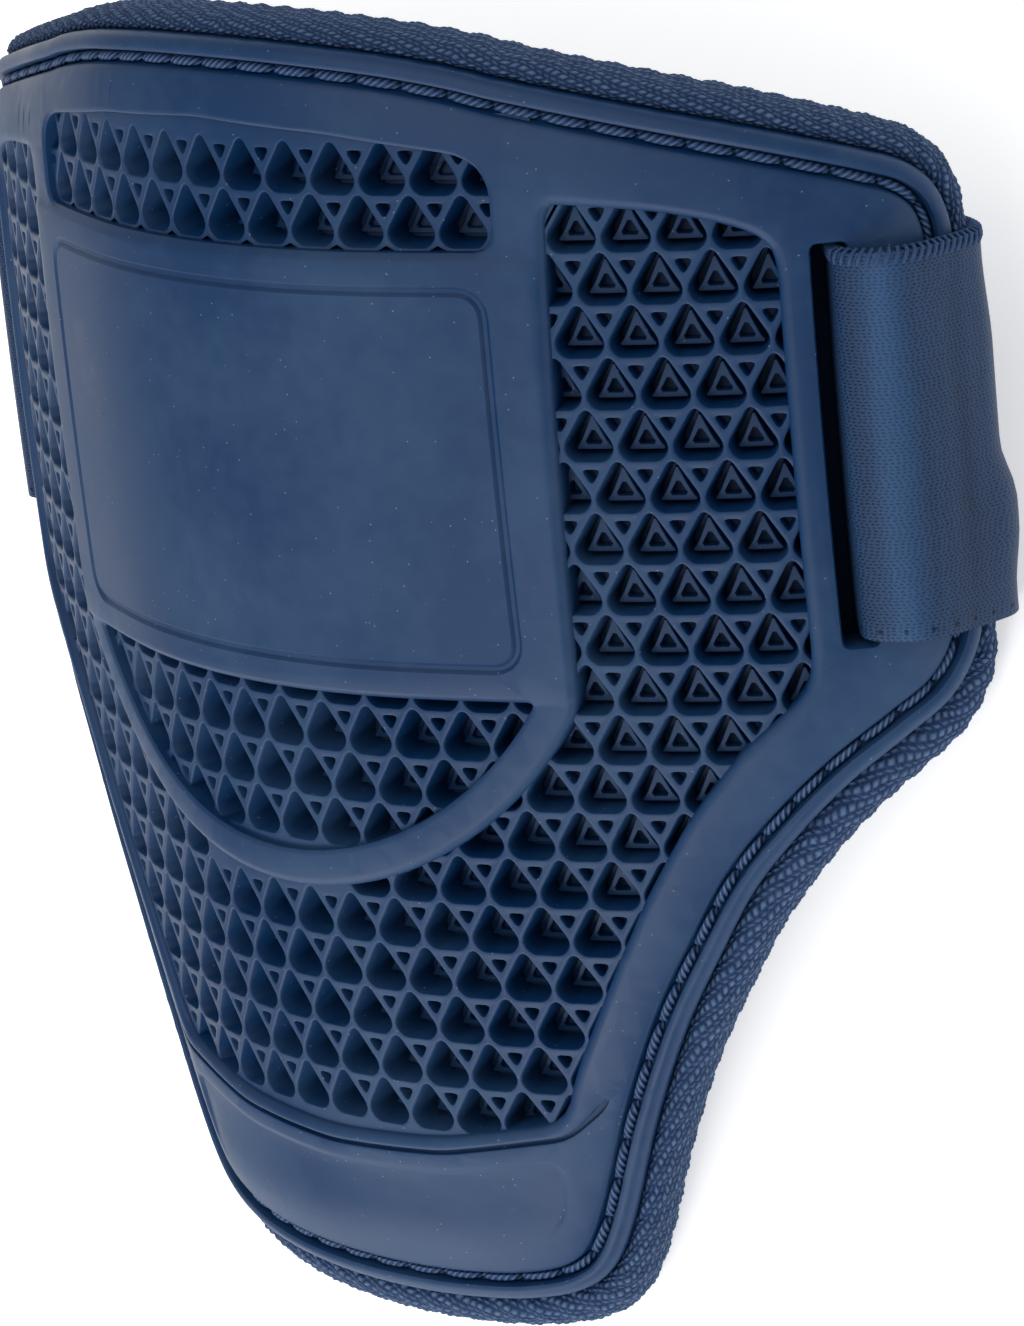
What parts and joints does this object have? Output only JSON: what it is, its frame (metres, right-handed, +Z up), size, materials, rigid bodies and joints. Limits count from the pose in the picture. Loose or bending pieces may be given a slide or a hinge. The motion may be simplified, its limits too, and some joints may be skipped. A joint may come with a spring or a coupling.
{
  "type": "batter's elbow guard",
  "caption": "Curved rubber elbow guard with an open lattice front, a stitched fabric-covered foam liner and an elastic strap looped through its ears.",
  "frame": {"origin": "on the ground under the middle of the strap, with the guard lying hollow side down", "axes": "+Z up out of the convex front, +Y along the arm towards the wide end, +X across towards one ear"},
  "size_m": [0.1666, 0.1654, 0.0697],
  "materials": {
    "moulded_rubber": "satin",
    "woven_cover": "matte",
    "knitted_elastic": "matte"
  },
  "bodies": {
    "root": {"shell": "moulded_rubber", "pad": "woven_cover", "strap": "knitted_elastic"}
  },
  "joints": []
}
